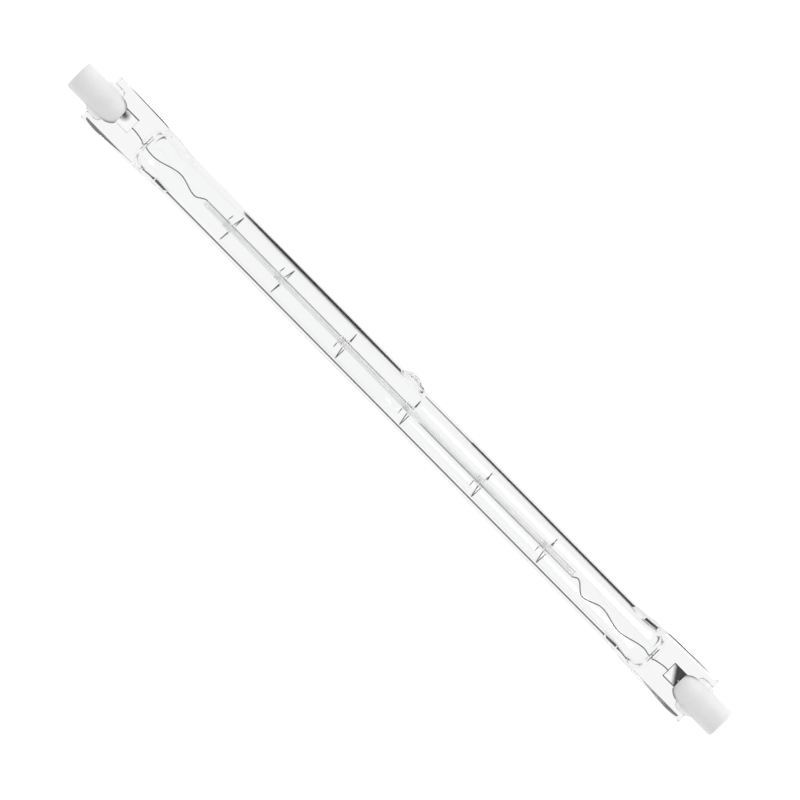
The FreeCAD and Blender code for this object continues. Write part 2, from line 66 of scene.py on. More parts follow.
def tableQuads(table):
    # quads between neighbouring rows and columns of a table of point numbers
    corners = [table[:-1, :-1], table[:-1, 1:], table[1:, 1:], table[1:, :-1]]
    return np.stack(corners, axis=-1).reshape(-1, 4)


def gridQuads(rows, columns):
    # the same for points numbered row by row, with the last column joined to the first
    table = np.arange(rows * columns).reshape(rows, columns)
    return tableQuads(np.concatenate([table, table[:, :1]], axis=1))


def tubeFaces(rows, columns):
    # a closed grid whose first and last rows are each filled with one face
    ring = np.arange(columns)[None]
    return [gridQuads(rows, columns), ring[:, ::-1], ring + (rows - 1) * columns]


def turned(points, faces, outwards=True):
    # the volume under the fans of all faces tells which way they face; if that is wrong, they are turned
    fans = [np.cross(points[f[:, 1:-1]], points[f[:, 2:]]) * points[f[:, :1]] for f in faces]
    volume = sum(fan.sum() for fan in fans)
    return faces if (volume > 0) == outwards else [f[:, ::-1] for f in faces]


def makePiece(name, shells, material, node, sharpAngle=35.0):
    # shells are pairs of points, in millimetres, and face arrays; together they make one mesh at the origin
    points = np.concatenate([p for p, f in shells]) * mm
    starts = np.cumsum([0] + [len(p) for p, f in shells])
    numbered = [(g + start).tolist() for start, (p, groups) in zip(starts, shells) for g in groups]
    faces = [face for group in numbered for face in group]
    mesh = bpy.data.meshes.new(name)
    mesh.from_pydata(points.tolist(), [], faces)
    mesh.polygons.foreach_set("use_smooth", np.ones(len(faces), bool))
    mesh.set_sharp_from_angle(angle=np.radians(sharpAngle))
    mesh.materials.append(material)
    piece = bpy.data.objects.new(name, mesh)
    bpy.context.scene.collection.objects.link(piece)
    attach(piece, "root")
    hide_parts(node)
    return piece


def softStep(x, start, end):  # 0 before start, 1 after end, and a smooth cubic between
    share = np.clip((x - start) / (end - start), 0, 1)
    return share * share * (3 - 2 * share)


def waveThrough(turns, x):
    # height at x on half cosine waves that level out at each listed turning point
    turns = np.array(turns)
    share = np.interp(x, turns[:, 0], np.arange(len(turns)))
    step = np.clip(share.astype(int), 0, len(turns) - 2)
    return turns[step, 1] + (turns[step + 1, 1] - turns[step, 1]) * (1 - np.cos(np.pi * (share - step))) / 2


def unit(vectors):
    return vectors / np.linalg.norm(vectors, axis=-1, keepdims=True)


wireEnds = (0.55, 0.88)  # share of its radius that a wire has at its outermost ring and at the next


def sweptWire(path, reference, radius, sides):
    # a circle carried along the path: one axis is the reference made square to the tangent, the other their
    # cross product; the wire's two ends are rounded over and closed
    tangent = unit(np.gradient(path, axis=0))
    normal = unit(reference - (reference * tangent).sum(1, keepdims=True) * tangent)
    across = np.cross(tangent, normal)
    angle = np.arange(sides) * 2 * np.pi / sides
    swell = np.full(len(path), radius)
    swell[[0, -1]] *= wireEnds[0]
    swell[[1, -2]] *= wireEnds[1]
    ring = np.cos(angle)[:, None] * normal[:, None] + np.sin(angle)[:, None] * across[:, None]
    points = (path[:, None] + swell[:, None, None] * ring).reshape(-1, 3)
    return points, turned(points, tubeFaces(len(path), sides))


# Shared effects


def newGroup(name, inputs, outputs):
    group = bpy.data.node_groups.new(name, "ShaderNodeTree")
    for label, kind, value in inputs:
        socket = group.interface.new_socket(label, in_out="INPUT", socket_type=kind)
        socket.default_value = value
    for label, kind in outputs:
        group.interface.new_socket(label, in_out="OUTPUT", socket_type=kind)
    return group, group.nodes.new("NodeGroupInput"), group.nodes.new("NodeGroupOutput")


def addNode(tree, kind, values=None, **settings):
    node = tree.nodes.new(kind)
    for key, value in settings.items():
        setattr(node, key, value)
    for socket, value in (values or {}).items():
        node.inputs[socket].default_value = value
    return node


def mottleGroup():
    # two sizes of noise on object coordinates: broad clouds shade the colour, fine grain lifts the surface
    group, taken, given = newGroup(
        "mottle",
        [("Light", "NodeSocketColor", (0.8, 0.8, 0.8, 1)), ("Dark", "NodeSocketColor", (0.6, 0.6, 0.6, 1)),
         ("Cloud Scale", "NodeSocketFloat", 400.0), ("Grain Scale", "NodeSocketFloat", 4000.0)],
        [("Color", "NodeSocketColor"), ("Mask", "NodeSocketFloat"), ("Height", "NodeSocketFloat")])
    place = addNode(group, "ShaderNodeTexCoord")
    cloud = addNode(group, "ShaderNodeTexNoise", {"Detail": 4.0, "Roughness": 0.6})
    grain = addNode(group, "ShaderNodeTexNoise", {"Detail": 3.0, "Roughness": 0.7})
    ramp = addNode(group, "ShaderNodeMapRange", {"From Min": 0.32, "From Max": 0.68})
    blend = addNode(group, "ShaderNodeMix", data_type="RGBA")
    join = group.links.new
    join(place.outputs["Object"], cloud.inputs["Vector"])
    join(place.outputs["Object"], grain.inputs["Vector"])
    join(taken.outputs["Cloud Scale"], cloud.inputs["Scale"])
    join(taken.outputs["Grain Scale"], grain.inputs["Scale"])
    join(cloud.outputs["Fac"], ramp.inputs["Value"])
    join(ramp.outputs["Result"], blend.inputs["Factor"])
    join(taken.outputs["Dark"], blend.inputs["A"])
    join(taken.outputs["Light"], blend.inputs["B"])
    join(blend.outputs["Result"], given.inputs["Color"])
    join(ramp.outputs["Result"], given.inputs["Mask"])
    join(grain.outputs["Fac"], given.inputs["Height"])
    return group


mottle = mottleGroup()


def mottledFinish(name, look):
    # a principled surface whose colour, roughness and bump come from the shared mottle
    material = bpy.data.materials.new(name)
    material.use_nodes = True
    tree = material.node_tree
    surface = tree.nodes["Principled BSDF"]
    surface.inputs["Metallic"].default_value = look["metallic"]
    spots = addNode(tree, "ShaderNodeGroup", node_tree=mottle)
    spots.inputs["Light"].default_value = (*look["light"], 1)
    spots.inputs["Dark"].default_value = (*look["dark"], 1)
    spots.inputs["Cloud Scale"].default_value = look["cloudScale"]
    spots.inputs["Grain Scale"].default_value = look["grainScale"]
    smoothest, roughest = look["roughness"]
    rough = addNode(tree, "ShaderNodeMapRange", {"To Min": smoothest, "To Max": roughest})
    bump = addNode(tree, "ShaderNodeBump", {"Strength": look["bump"], "Distance": look["bumpHeight"]})
    tree.links.new(spots.outputs["Color"], surface.inputs["Base Color"])
    tree.links.new(spots.outputs["Mask"], rough.inputs["Value"])
    tree.links.new(rough.outputs["Result"], surface.inputs["Roughness"])
    tree.links.new(spots.outputs["Height"], bump.inputs["Height"])
    tree.links.new(bump.outputs["Normal"], surface.inputs["Normal"])
    return material


def ramped(tree, source, low, high, start=0.0, end=1.0):
    # start at low and before it, end at high and beyond it, and a straight change between
    limits = {"From Min": low, "From Max": high, "To Min": start, "To Max": end}
    ramp = addNode(tree, "ShaderNodeMapRange", limits)
    tree.links.new(source, ramp.inputs["Value"])
    return ramp.outputs["Result"]


def multiplied(tree, first, second):
    product = addNode(tree, "ShaderNodeMath", operation="MULTIPLY")
    tree.links.new(first, product.inputs[0])
    tree.links.new(second, product.inputs[1])
    return product.outputs["Value"]


def unsigned(tree, source):  # a value without its sign
    size = addNode(tree, "ShaderNodeMath", operation="ABSOLUTE")
    tree.links.new(source, size.inputs[0])
    return size.outputs["Value"]


def distanceTo(tree, place, centre):
    away = addNode(tree, "ShaderNodeVectorMath", {1: centre}, operation="DISTANCE")
    tree.links.new(place, away.inputs[0])
    return away.outputs["Value"]


def paintShade(material, mask, color):
    # lays a second colour over the mottled one where the mask is 1: painted shade or a painted dark
    # reflection
    tree = material.node_tree
    base = tree.nodes["Principled BSDF"].inputs["Base Color"]
    blend = addNode(tree, "ShaderNodeMix", data_type="RGBA")
    blend.inputs["B"].default_value = (*color, 1)
    tree.links.new(base.links[0].from_socket, blend.inputs["A"])
    tree.links.new(mask, blend.inputs["Factor"])
    tree.links.new(blend.outputs["Result"], base)


def edgeTinted(material):
    # a metal takes its own colour, with its painted shade, at grazing angles too
    tree = material.node_tree
    surface = tree.nodes["Principled BSDF"]
    tree.links.new(surface.inputs["Base Color"].links[0].from_socket, surface.inputs["Specular Tint"])


def objectAxes(tree):
    place = addNode(tree, "ShaderNodeTexCoord")
    parts = addNode(tree, "ShaderNodeSeparateXYZ")
    tree.links.new(place.outputs["Object"], parts.inputs["Vector"])
    return place.outputs["Object"], parts.outputs


# Quartz glass: clear, with faint drawing streaks along the tube
quartzLook = {
    "ior": 1.458, "streakScale": 260.0, "streakStretch": 0.04, "streakDetail": 2.0,
    "thinTint": (0.975, 0.98, 0.98, 1), "fullTint": (1, 1, 1, 1), "bump": 0.006, "bumpHeight": 0.0002,
    "longestPath": 6.5, "trapped": 0.86, "trappedInTip": 0.08,
    "tipCentre": (-0.00125, 0.0055, 0.0), "tipReach": (0.0034, 0.004),
}


def quartzGlass():
    # a painted glow: where light has run on inside the glass for many bounces, the glass gives off the pale
    # tone of the surroundings, or a painted dark one in the exhaust tip
    look = quartzLook
    material = bpy.data.materials.new("quartz")
    material.use_nodes = True
    tree = material.node_tree
    surface = tree.nodes["Principled BSDF"]
    surface.inputs["Transmission Weight"].default_value = 1.0
    surface.inputs["IOR"].default_value = look["ior"]
    surface.inputs["Roughness"].default_value = 0.0
    place = addNode(tree, "ShaderNodeTexCoord")
    stretch = addNode(tree, "ShaderNodeMapping", {"Scale": (look["streakStretch"], 1, 1)})
    streaks = addNode(
        tree, "ShaderNodeTexNoise", {"Scale": look["streakScale"], "Detail": look["streakDetail"]})
    tint = addNode(tree, "ShaderNodeMix", data_type="RGBA")
    tint.inputs["A"].default_value = look["thinTint"]
    tint.inputs["B"].default_value = look["fullTint"]
    bump = addNode(tree, "ShaderNodeBump", {"Strength": look["bump"], "Distance": look["bumpHeight"]})
    join = tree.links.new
    join(place.outputs["Object"], stretch.inputs["Vector"])
    join(stretch.outputs["Vector"], streaks.inputs["Vector"])
    join(streaks.outputs["Fac"], tint.inputs["Factor"])
    join(tint.outputs["Result"], surface.inputs["Base Color"])
    join(streaks.outputs["Fac"], bump.inputs["Height"])
    join(bump.outputs["Normal"], surface.inputs["Normal"])
    path = addNode(tree, "ShaderNodeLightPath")
    longer = addNode(tree, "ShaderNodeMath", {1: look["longestPath"]}, operation="GREATER_THAN")
    fromTip = distanceTo(tree, place.outputs["Object"], look["tipCentre"])
    tone = ramped(tree, fromTip, *look["tipReach"], look["trappedInTip"], look["trapped"])
    pale = addNode(tree, "ShaderNodeEmission")
    either = addNode(tree, "ShaderNodeMixShader")
    join(tone, pale.inputs["Color"])
    join(path.outputs["Ray Depth"], longer.inputs[0])
    join(longer.outputs["Value"], either.inputs["Fac"])
    join(surface.outputs["BSDF"], either.inputs[1])
    join(pale.outputs["Emission"], either.inputs[2])
    join(either.outputs["Shader"], tree.nodes["Material Output"].inputs["Surface"])
    material.cycles.emission_sampling = "NONE"
    return material


tungsten = mottledFinish("tungsten", {
    "metallic": 1.0, "light": (1.0, 1.0, 1.0), "dark": (0.96, 0.96, 0.96), "cloudScale": 900.0,
    "grainScale": 9000.0, "roughness": (0.25, 0.35), "bump": 0.05, "bumpHeight": 0.00002})
supportTungsten = mottledFinish("support_tungsten", {
    "metallic": 1.0, "light": (0.95, 0.95, 0.945), "dark": (0.85, 0.85, 0.85), "cloudScale": 700.0,
    "grainScale": 9000.0, "roughness": (0.4, 0.55), "bump": 0.15, "bumpHeight": 0.00002})
leadWire = mottledFinish("lead_wire", {
    "metallic": 1.0, "light": (0.5, 0.5, 0.49), "dark": (0.26, 0.26, 0.26), "cloudScale": 600.0,
    "grainScale": 8000.0, "roughness": (0.25, 0.4), "bump": 0.1, "bumpHeight": 0.00002})
foilMetal = mottledFinish("molybdenum_foil", {
    "metallic": 1.0, "light": (1.0, 1.0, 1.0), "dark": (0.93, 0.93, 0.93), "cloudScale": 500.0,
    "grainScale": 3000.0, "roughness": (0.06, 0.16), "bump": 0.06, "bumpHeight": 0.00004})
capCeramic = mottledFinish("cap_ceramic", {
    "metallic": 0.0, "light": (0.64, 0.645, 0.64), "dark": (0.6, 0.605, 0.6), "cloudScale": 330.0,
    "grainScale": 3600.0, "roughness": (0.5, 0.68), "bump": 0.22, "bumpHeight": 0.00006})
capCement = mottledFinish("cement", {
    "metallic": 0.0, "light": (0.88, 0.88, 0.87), "dark": (0.74, 0.74, 0.73), "cloudScale": 900.0,
    "grainScale": 2600.0, "roughness": (0.75, 0.95), "bump": 0.6, "bumpHeight": 0.00012})
contactMetal = mottledFinish("contact_metal", {
    "metallic": 1.0, "light": (0.68, 0.67, 0.65), "dark": (0.52, 0.51, 0.49), "cloudScale": 800.0,
    "grainScale": 5000.0, "roughness": (0.22, 0.38), "bump": 0.12, "bumpHeight": 0.00003})


# where the painted shade on the filament lies and how dark it is
filamentShade = {
    "swap": (0.003, 0.007), "thinLine": (-0.00058, -0.00066), "dashes": (0.00034, 0.0004),
    "upper": (0.0, 0.0002), "legs": ((0.0508, 0.0514), (-0.0569, -0.0575)),
    "grey": (0.1, 0.1, 0.1), "black": (0.0, 0.0, 0.0),
}


def darkenFilament():
    # painted shade: the legs are painted grey; the upper half of the close turns is painted dark towards
    # one edge, which leaves dashes there, and a thin grey line is painted along the other; the edges swap
    # midway
    shade = filamentShade
    tree = tungsten.node_tree
    axes = objectAxes(tree)[1]
    edge = multiplied(tree, axes["Y"], ramped(tree, axes["X"], *shade["swap"], 1.0, -1.0))
    paintShade(tungsten, ramped(tree, edge, *shade["thinLine"]), shade["grey"])
    upper = ramped(tree, axes["Z"], *shade["upper"])
    paintShade(tungsten, multiplied(tree, ramped(tree, edge, *shade["dashes"]), upper), shade["black"])
    for leg in shade["legs"]:
        paintShade(tungsten, ramped(tree, axes["X"], *leg), shade["grey"])


supportShade = {"reach": (0.00095, 0.00115), "black": (0.02, 0.02, 0.02)}


def darkenSupports():
    # painted shade: what lies over or under the coil stays bright; the rest of the ring and the free end
    # are painted dark
    tree = supportTungsten.node_tree
    reach = unsigned(tree, objectAxes(tree)[1]["Y"])
    paintShade(supportTungsten, ramped(tree, reach, *supportShade["reach"]), supportShade["black"])


# where the painted dark reflections on the foils lie and how dark they are
foilShade = {
    "slant": 0.7, "slantLine": (0.0799, 0.0810), "slantTone": (0.035, 0.035, 0.035),
    "spot": (-0.0815, 0.0008, 0), "spotReach": (0.0014, 0.0003), "spotTone": (0.12, 0.12, 0.12),
    "highEdge": (0.0019, 0.0021), "highTone": (0.02, 0.02, 0.02), "leftToRight": (-0.08, 0.08, 0.25, 1.0),
    "lowEdge": (-0.00125, -0.0014), "startEdge": (0.0789, 0.0788), "edgeTone": (0.05, 0.05, 0.05),
}


def paintFoilReflections():
    # painted dark reflections: both foils are painted darker at their edges, the right one more; the right
    # one is painted dark beyond a slanting line, the left one in a spot near the cap
    shade = foilShade
    tree = foilMetal.node_tree
    whole, axes = objectAxes(tree)
    slant = addNode(tree, "ShaderNodeMath", {1: shade["slant"]}, operation="MULTIPLY_ADD")
    tree.links.new(axes["Y"], slant.inputs[0])
    tree.links.new(axes["X"], slant.inputs[2])
    paintShade(foilMetal, ramped(tree, slant.outputs["Value"], *shade["slantLine"]), shade["slantTone"])
    fromSpot = distanceTo(tree, whole, shade["spot"])
    paintShade(foilMetal, ramped(tree, fromSpot, *shade["spotReach"]), shade["spotTone"])
    paintShade(foilMetal, ramped(tree, axes["Y"], *shade["highEdge"]), shade["highTone"])
    rightMore = ramped(tree, axes["X"], *shade["leftToRight"])
    lowEdge = ramped(tree, axes["Y"], *shade["lowEdge"])
    startEdge = ramped(tree, unsigned(tree, axes["X"]), *shade["startEdge"])
    for edge in (lowEdge, startEdge):
        paintShade(foilMetal, multiplied(tree, edge, rightMore), shade["edgeTone"])


capShade = {"height": (0.0023, 0.0015), "nose": (0.0850, 0.0836), "tone": (0.16, 0.16, 0.16)}


def shadeCaps():
    # painted shade darkens the low edge of each cap's nose where it meets the seal
    tree = capCeramic.node_tree
    axes = objectAxes(tree)[1]
    low = ramped(tree, unsigned(tree, axes["Z"]), *capShade["height"])
    near = ramped(tree, unsigned(tree, axes["X"]), *capShade["nose"])
    paintShade(capCeramic, multiplied(tree, low, near), capShade["tone"])


darkenFilament()
darkenSupports()
shadeCaps()
paintFoilReflections()
for metal in (tungsten, supportTungsten, foilMetal):
    edgeTinted(metal)
quartz = quartzGlass()
print("materials made:", len(bpy.data.materials))

# Quartz envelope
tubeHigh = span("quartz_envelope")[1]
envelope = {
    "radius": tubeHigh[2], "shoulder": 3.6, "shoulderLong": 5.0, "shoulderEnd": 75.0,
    "flare": 0.13, "flareStart": 64.0, "flareEnd": 73.0, "flarePower": 1.3,
    "bore": tubeHigh[2] - 1.0, "cavityNose": 2.6, "cavityLong": 4.0, "cavityEnd": 74.0,
    "boreFlare": 0.19, "boreFlareStart": 67.0, "boreFlarePower": 2,
    "creaseSoftness": 0.2, "creaseStart": 64.0, "gather": (68.0, 75.0), "leastWidth": 3.0,
    "sealHalf": 1.2, "neck": 73.0, "neckWidth": 5.65, "neckSoftness": 0.5, "rootSlope": 0.19,
    "sealSlope": 0.03, "plateStart": 78.0, "sealEnd": tubeHigh[0],
    "forkRoot": 84.6, "forkHalf": 4.1, "forkCorner": 1.0,
    "prongCorner": 0.5, "prongLip": 0.3, "prongRagged": 0.09, "raggedWave": 17.3,
    "edgeRound": 0.22, "endRound": 0.45, "endEase": 0.8,
    "tipStation": -1.25, "tipHeight": tubeHigh[1] - tubeHigh[2], "tipLong": (2.6, 4.2), "tipWide": 2.5,
    "tipFlat": 0.24, "tipHollow": 0.9, "tipPower": 1.35, "crumple": (0.10, 0.06), "dimple": 0.16,
    "dimpleReach": 0.5,
    "flatColumns": 56, "edgeColumns": 24, "fineStart": 62.0, "endRowStep": 0.25, "shoulderRows": 40,
    "rootRows": 12, "tubeRowStep": 1.0, "tipRowStep": 0.12, "tipRowReach": 4.5, "tipRowGap": 5.0,
    "sidePoints": 40, "cornerPoints": 8, "facePoints": 14, "lipPoints": 6, "wallPoints": 12,
    "bendPoints": 9, "notchPoints": 10,
    "cavityColumns": 128, "cavityRows": 90, "cavityEndStep": 0.5, "cavityBendRows": 30,
}


def shoulderRadius(x, radius, nose, long, end):
    # radius of a straight tube whose flat end meets its side in a quarter oval; nothing beyond the end
    over = np.clip((x - (end - long)) / long, 0, 1)
    return np.where(x <= end, radius - nose + nose * np.sqrt(1 - over ** 2), 0)


def flared(x, amount, start, end, power):  # how much wider than round a pressed section is at x
    return 1 + amount * np.clip((x - start) / (end - start), 0, 1.1) ** power


def sealWidth(x):
    # half width of a seal: a steep rise to the neck eases into a slow one beyond it
    e = envelope
    ease = e["neckSoftness"] * np.logaddexp(0, (e["neck"] - x) / e["neckSoftness"])
    return e["neckWidth"] + e["sealSlope"] * (x - e["neck"]) - (e["rootSlope"] - e["sealSlope"]) * ease


def stadiumRadius(angle, half, width):
    # distance from the middle to the edge of a flat section with full round ends, in a direction
    centre = width - half
    sine, cosine = np.abs(np.sin(angle)), np.abs(np.cos(angle))
    flat = half / np.maximum(sine, 1e-9)
    onFlat = flat * cosine <= centre
    inRoot = np.clip(half ** 2 - (centre * sine) ** 2, 0, None)
    return np.where(onFlat, flat, centre * cosine + np.sqrt(inRoot))


def sectionAngles(half, width, flats, edges):
    # directions of evenly spread points round a flat section: right edge, upper flat, left edge, lower flat
    centre = width - half
    bend = (np.arange(edges) / edges - 0.5) * np.pi
    run = np.arange(flats) / flats * 2 - 1
    ones = np.ones_like(centre)
    y = [centre + half * np.cos(bend), -run * centre, -centre - half * np.cos(bend), run * centre]
    rise = half * np.sin(bend) * ones
    level = half * np.ones(flats) * ones
    z = [rise, level, -rise, -level]
    return np.unwrap(np.arctan2(np.concatenate(z, axis=1), np.concatenate(y, axis=1)), axis=1)


def withTipRows(stations):
    # the stations along X, with those round the exhaust tip replaced by close ones
    e = envelope
    close = e["tipStation"] + np.arange(-e["tipRowReach"], e["tipRowReach"], e["tipRowStep"])
    return np.concatenate([stations[np.abs(stations - e["tipStation"]) > e["tipRowGap"]], close])


def envelopeRows():
    # stations along X: close together at the two shoulders and at the exhaust tip
    e = envelope
    swing = np.linspace(0, np.pi / 2, e["shoulderRows"])
    arcStart = e["shoulderEnd"] - e["shoulderLong"]
    straight = np.arange(e["fineStart"], arcStart, e["endRowStep"])
    root = np.linspace(e["shoulderEnd"], e["plateStart"], e["rootRows"])[1:]
    ends = np.concatenate([straight, arcStart + e["shoulderLong"] * np.sin(swing), root])
    tube = np.arange(-e["fineStart"] + 1, e["fineStart"], e["tubeRowStep"])
    return np.sort(np.concatenate([-ends, withTipRows(tube), ends]))


def tipBump(x, angle):
    # a low cone on an oval base, flat at its top and crumpled by a few waves
    e = envelope
    along = (x - e["tipStation"]) / np.where(x < e["tipStation"], *e["tipLong"])
    around = np.angle(np.exp(1j * angle)) * e["radius"] / e["tipWide"]
    reach = np.hypot(along, around) + 1e-9
    turn = np.arctan2(around, along)
    broad, fine = e["crumple"]
    crumple = 1 + broad * np.sin(3 * turn + 0.7) + fine * np.sin(7 * turn + 2.0 * along)
    cone = np.clip((1 - reach * crumple) / (1 - e["tipFlat"]), 0, 1)
    waves = 1 + np.sin(9 * along + 1.0) * np.cos(8 * around - 0.5)
    dimples = 1 - e["dimple"] * softStep(reach, e["dimpleReach"], 0.0) * waves
    return e["tipHeight"] * cone ** e["tipPower"] * dimples


def outerShell():
    # the smooth larger of two shapes in each direction: the tube, an oval near its ends, and the flat seal
    e = envelope
    rows = envelopeRows()
    reach = np.abs(rows)[:, None]
    width = np.clip(sealWidth(reach), e["leastWidth"], None)
    flat = sectionAngles(e["sealHalf"], width, e["flatColumns"], e["edgeColumns"])
    columns = flat.shape[1]
    spread = np.linspace(0, 2 * np.pi, columns, endpoint=False) - np.pi / columns * e["edgeColumns"]
    angle = spread + (flat - spread) * softStep(reach, *e["gather"])
    across = flared(reach, e["flare"], e["flareStart"], e["flareEnd"], e["flarePower"])
    height = shoulderRadius(reach, e["radius"], e["shoulder"], e["shoulderLong"], e["shoulderEnd"])
    tube = height / np.hypot(np.cos(angle) / across, np.sin(angle))
    seal = stadiumRadius(angle, e["sealHalf"], width)
    soft = e["creaseSoftness"]
    union = soft * np.logaddexp(tube / soft, seal / soft)
    union = np.where(reach < e["creaseStart"], tube, np.where(tube <= 0, seal, union))
    radius = union + tipBump(rows[:, None], angle)
    x = np.broadcast_to(rows[:, None], angle.shape)
    return np.stack([x, radius * np.cos(angle), radius * np.sin(angle)], axis=-1)


def bentCorner(centre, radius, start, count):
    # a quarter circle about a centre, from the direction start, turning clockwise, without its first point
    turn = start - np.linspace(0, np.pi / 2, count)[1:]
    return np.array(centre) + radius * np.stack([np.cos(turn), np.sin(turn)], axis=-1)


def plateOutline():
    # plan of a forked seal end from the plate's start on the tip side, round both prongs and the notch,
    # back to the start: straight runs joined by quarter circles; each point has its own edge rounding
    e = envelope
    corner, lip, end = e["prongCorner"], e["prongLip"], e["sealEnd"]
    x = np.linspace(e["plateStart"], end - corner, e["sidePoints"])[1:]
    side = np.stack([x, sealWidth(x)], axis=-1)
    near = softStep(x, end - e["endEase"], end - corner)
    fullness = e["sealHalf"] + (e["endRound"] - e["sealHalf"]) * near
    inside = sealWidth(end - corner) - corner
    tip = bentCorner((end - corner, inside), corner, np.pi / 2, e["cornerPoints"])
    y = np.linspace(inside, e["forkHalf"] + lip, e["facePoints"])[1:-1]
    window = np.sin(np.linspace(0, np.pi, e["facePoints"]))[1:-1]
    ragged = e["prongRagged"] * window * (1 + np.sin(e["raggedWave"] * y)) / 2
    face = np.stack([end - ragged, y], axis=-1)
    mouth = bentCorner((end - lip, e["forkHalf"] + lip), lip, 0.0, e["lipPoints"])
    centreX, centreY = e["forkRoot"] + e["forkCorner"], e["forkHalf"] - e["forkCorner"]
    x = np.linspace(end - lip, centreX, e["wallPoints"])[1:]
    wall = np.stack([x, np.full_like(x, e["forkHalf"])], axis=-1)
    turn = np.linspace(0, np.pi / 2, e["bendPoints"])[1:]
    bendX, bendY = centreX - e["forkCorner"] * np.sin(turn), centreY + e["forkCorner"] * np.cos(turn)
    y = np.linspace(centreY, 0, e["notchPoints"])[1:]
    notch = np.stack([np.full_like(y, e["forkRoot"]), y], axis=-1)
    half = np.concatenate([side, tip, face, mouth, wall, np.stack([bendX, bendY], axis=-1), notch])
    easing = np.linspace(e["endRound"], e["edgeRound"], len(tip) + len(face))
    crisp = np.full(len(half) - len(side) - len(easing), e["edgeRound"])
    rounding = np.concatenate([fullness, easing, crisp])
    mirrored = half[-2::-1] * np.array([1, -1])
    return np.concatenate([half, mirrored]), np.concatenate([rounding, rounding[-2::-1]])


def plateRim(side):
    # a half oval carried round the plate's outline, inset by each point's rounding
    e = envelope
    outline, rounding = plateOutline()
    tangent = unit(np.gradient(outline, axis=0))
    normal = np.stack([-tangent[:, 1], tangent[:, 0]], axis=-1)  # points out of the glass
    bend = (np.arange(e["edgeColumns"] + 1) / e["edgeColumns"] - 0.5) * np.pi
    shift = rounding[:, None] * (np.cos(bend)[None] - 1)
    plan = outline[:, None] + normal[:, None] * shift[..., None]
    height = np.broadcast_to(e["sealHalf"] * np.sin(bend), plan.shape[:2])
    return np.stack([side * plan[..., 0], plan[..., 1], height], axis=-1)


def flatFaces(points, loop, up):
    # a level outline cut into triangles, all turned to face up or all down
    corners = points[loop] * np.array([1.0, 1.0, 0.0])
    cut = loop[np.array(tessellate_polygon([list(map(Vector, corners.tolist()))]))]
    first = points[cut[:, 1]] - points[cut[:, 0]]
    second = points[cut[:, 2]] - points[cut[:, 0]]
    wrong = (np.cross(first, second)[:, 2] > 0) != up
    cut[wrong] = cut[wrong][:, ::-1]
    return cut


def cavityShell():
    # the inside of the tube: straight, with round shoulders, wider across where the ends are pressed and
    # following the exhaust tip, which is hollow
    e = envelope
    swing = np.linspace(0, np.pi / 2, e["cavityBendRows"])
    arcStart = e["cavityEnd"] - e["cavityLong"]
    straight = np.arange(e["fineStart"], arcStart, e["cavityEndStep"])
    near = np.concatenate([straight, arcStart + e["cavityLong"] * np.sin(swing)])
    tube = np.linspace(-near[0], near[0], e["cavityRows"])[1:-1]
    x = np.concatenate([-near[::-1], np.sort(withTipRows(tube)), near])
    bore = shoulderRadius(np.abs(x), e["bore"], e["cavityNose"], e["cavityLong"], e["cavityEnd"])
    ends = np.array([[-e["cavityEnd"], 0], [e["cavityEnd"], 0]])
    profile = np.concatenate([ends[:1], np.stack([x, bore], axis=-1), ends[1:]])
    points, faces = revolvedShell(profile, e["cavityColumns"])
    angle = np.arctan2(points[:, 2], points[:, 1])
    lift = e["tipHollow"] * tipBump(points[:, 0], angle)
    points[:, 1:] += lift[:, None] * np.stack([np.cos(angle), np.sin(angle)], axis=-1)
    reach = np.abs(points[:, 0])
    points[:, 1] *= flared(reach, e["boreFlare"], e["boreFlareStart"], e["flareEnd"], e["boreFlarePower"])
    return points, turned(points, faces, outwards=False)


def envelopePiece():
    # the outer shell's first and last rows join the rims of the two forked plates; flat faces close them
    e = envelope
    shell = outerShell()
    rows, columns = shell.shape[:2]
    edges, flats = e["edgeColumns"], e["flatColumns"]
    points = [shell.reshape(-1, 3)]
    faces, levels = [gridQuads(rows, columns)], []
    count = rows * columns
    for side, row in ((-1, 0), (1, rows - 1)):
        section = row * columns + np.arange(columns)
        rim = plateRim(side)
        rimIndex = count + np.arange(rim.shape[0] * rim.shape[1]).reshape(rim.shape[:2])
        count += rimIndex.size
        points.append(rim.reshape(-1, 3))
        farEdge = section[edges + flats: 2 * edges + flats + 1][::-1]
        rimFaces = tableQuads(np.concatenate([section[None, : edges + 1], rimIndex, farEdge[None]]))
        upper = np.concatenate([section[edges: edges + flats + 1], rimIndex[::-1, -1]])
        lower = np.concatenate([section[2 * edges + flats:], section[:1], rimIndex[:, 0]])
        levels += [(upper, True), (lower, False)]
        faces.append(rimFaces if side > 0 else rimFaces[:, ::-1])
    outer = np.concatenate(points)
    skin = turned(outer, faces) + [flatFaces(outer, loop, up) for loop, up in levels]
    shells = [(outer, skin), cavityShell()]
    return makePiece("quartz_envelope_glass", shells, quartz, "quartz_envelope", sharpAngle=30.0)


def revolvedShell(profile, columns):
    # a profile of place along X and radius turned about X, with a pole at each end
    angle = np.arange(columns) * 2 * np.pi / columns
    body = profile[1:-1]
    x = np.broadcast_to(body[:, :1], (len(body), columns))
    rings = np.stack([x, body[:, 1:] * np.cos(angle), body[:, 1:] * np.sin(angle)], axis=-1)
    points = rings.reshape(-1, 3)
    poles = np.array([[profile[0, 0], 0, 0], [profile[-1, 0], 0, 0]])
    count = len(points)
    ring = np.arange(columns)
    following = np.roll(ring, -1)
    firstFan = np.stack([np.full(columns, count), following, ring], axis=-1)
    lastStart = count - columns
    lastFan = np.stack([np.full(columns, count + 1), lastStart + ring, lastStart + following], axis=-1)
    return np.concatenate([points, poles]), [gridQuads(len(body), columns), firstFan, lastFan]


glass = envelopePiece()
print("glass made:", len(glass.data.polygons), "faces")

